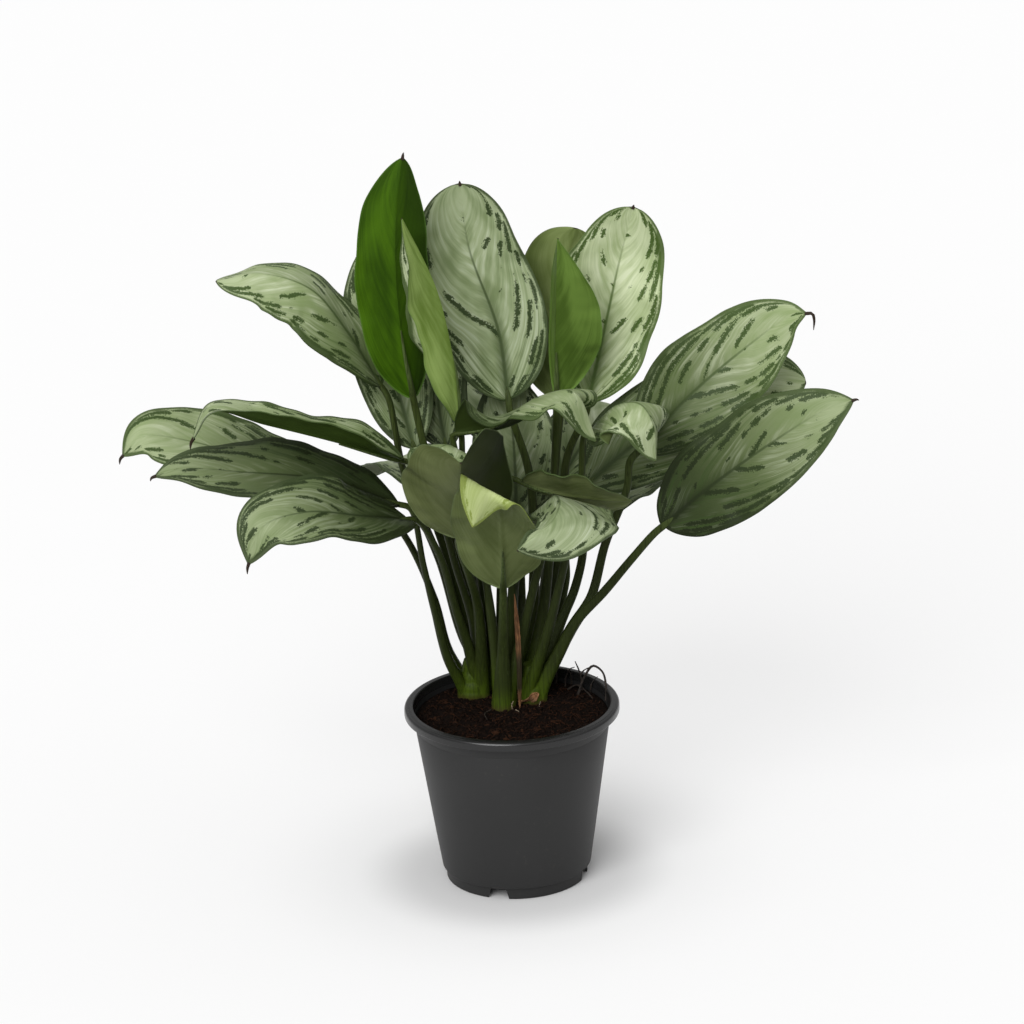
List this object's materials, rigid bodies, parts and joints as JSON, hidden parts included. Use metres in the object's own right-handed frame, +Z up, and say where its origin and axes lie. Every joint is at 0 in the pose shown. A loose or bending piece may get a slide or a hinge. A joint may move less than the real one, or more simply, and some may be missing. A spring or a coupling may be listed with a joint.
{
  "type": "potted chinese evergreen",
  "caption": "Bushy Chinese evergreen houseplant with silver-green patterned leaves on long stalks, standing in a round tapered nursery pot of soil.",
  "frame": {"origin": "centre of the flat disc on the pot's underside, at the height of the surface it stands on", "axes": "+Z up; -Y is the front that the picture shows and +X is its right"},
  "size_m": [0.637, 0.469, 0.6542],
  "materials": {
    "pot": "satin",
    "soil": "rough",
    "stalk": "satin",
    "leaf_upper": "satin",
    "leaf_underside": "satin",
    "dry_sheath": "matte"
  },
  "bodies": {
    "root": {"pot": "pot", "soil": "soil", "shoot_left": "stalk", "shoot_front": "stalk", "shoot_right": "stalk", "shoot_back": "stalk", "shoot_back_right": "stalk", "leaf_top_left": "leaf_underside", "leaf_top_centre": "leaf_upper", "leaf_spear": "leaf_underside", "leaf_top_right": "leaf_upper", "leaf_top_behind": "leaf_upper", "leaf_young": "leaf_underside", "leaf_inner_left": "leaf_upper", "leaf_upper_back": "leaf_upper", "leaf_upper_left": "leaf_upper", "leaf_left_high": "leaf_upper", "leaf_left_far": "leaf_upper", "leaf_left_middle": "leaf_upper", "leaf_left_low": "leaf_upper", "leaf_front_boat": "leaf_upper", "leaf_front_low": "leaf_upper", "leaf_front_right": "leaf_upper", "leaf_front_behind": "leaf_upper", "leaf_arch_centre": "leaf_upper", "leaf_arch_right": "leaf_upper", "leaf_inner_front": "leaf_upper", "leaf_inner_back": "leaf_upper", "leaf_right_high": "leaf_upper", "leaf_right_under": "leaf_upper", "leaf_right_low": "leaf_upper", "leaf_back_right": "leaf_upper", "leaf_back_centre": "leaf_upper", "leaf_back_left": "leaf_upper", "leaf_back_right_low": "leaf_upper", "leaf_back_low": "leaf_upper", "dried_sheath": "dry_sheath"}
  },
  "joints": []
}
